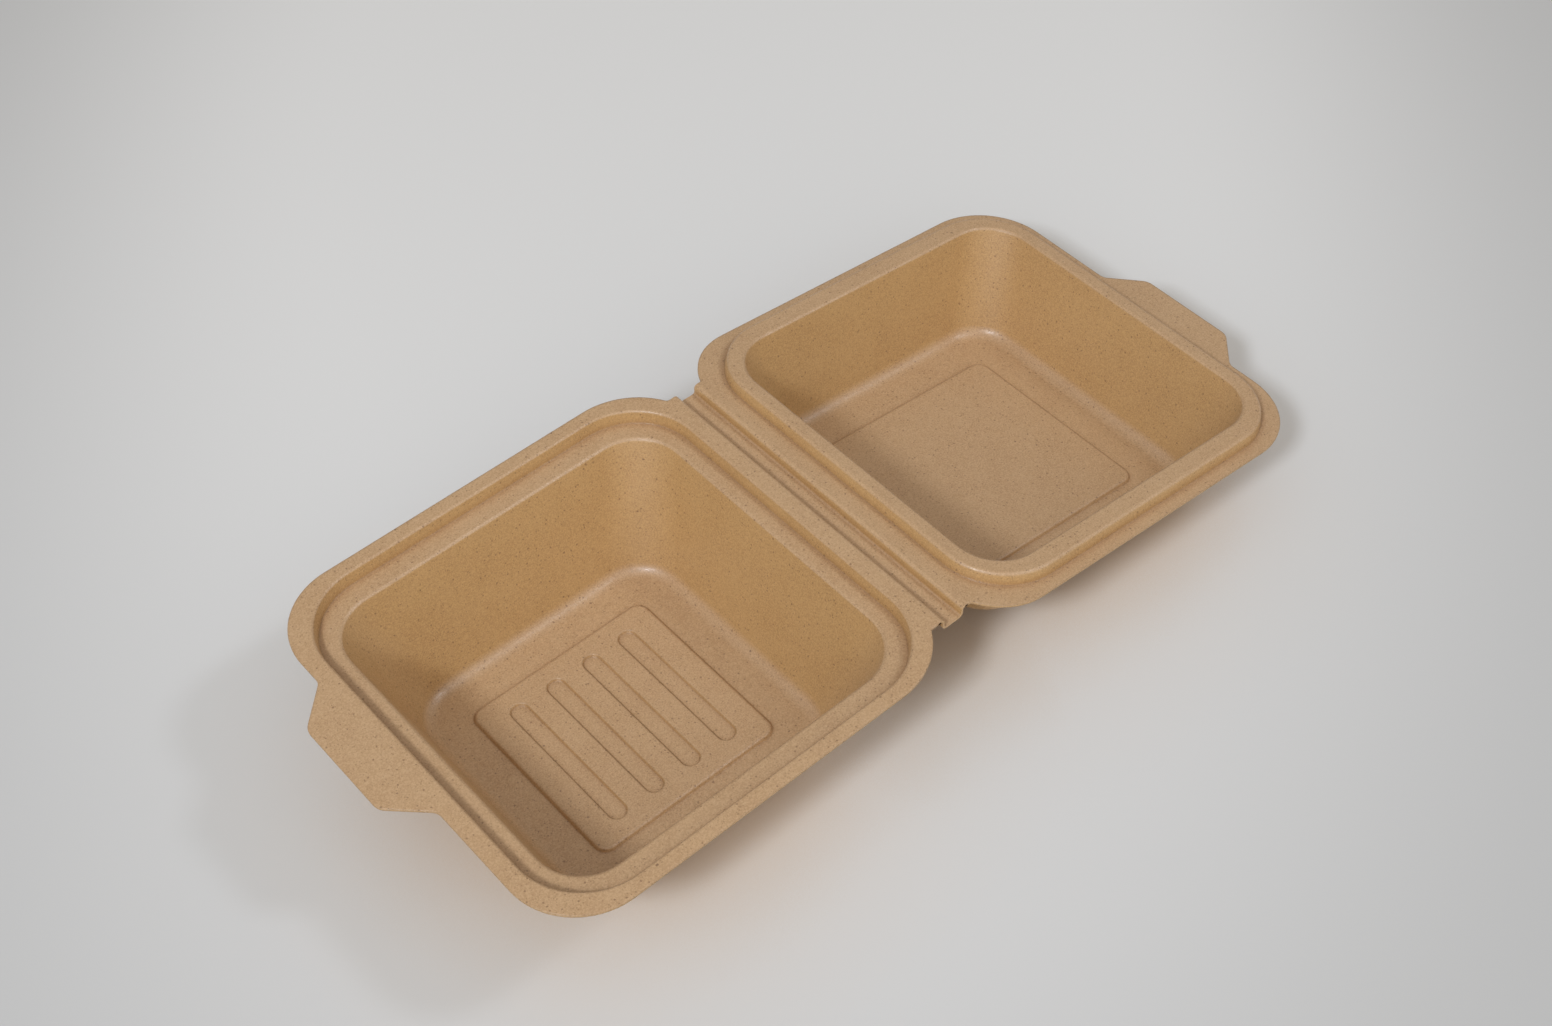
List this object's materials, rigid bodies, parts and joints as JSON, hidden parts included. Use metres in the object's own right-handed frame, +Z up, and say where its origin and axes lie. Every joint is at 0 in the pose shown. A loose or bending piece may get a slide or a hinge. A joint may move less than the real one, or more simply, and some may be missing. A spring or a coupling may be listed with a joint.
{
  "type": "clamshell food box",
  "caption": "Square moulded-fibre clamshell food box lying open: ribbed base tray with a nesting recess, rimmed lid tray, folded hinge web and finger tabs.",
  "frame": {"origin": "on the table under the centre of the base tray, which is the centre of its ring-shaped foot", "axes": "+X from the base towards the lid, across the hinge; +Y along the hinge line; +Z up"},
  "size_m": [0.328, 0.1502, 0.0509],
  "materials": {
    "fibre": "matte moulded plant fibre with fine specks"
  },
  "bodies": {
    "base": {"base": "fibre", "hinge_strip": "fibre"},
    "lid": {"lid": "fibre"}
  },
  "joints": [
    {"name": "lid_hinge", "type": "hinge", "parent": "base", "child": "lid", "pos_m": [0.0792, 0, 0.0485], "axis": [0, -1, 0], "range_deg": [0, 186.46]}
  ]
}
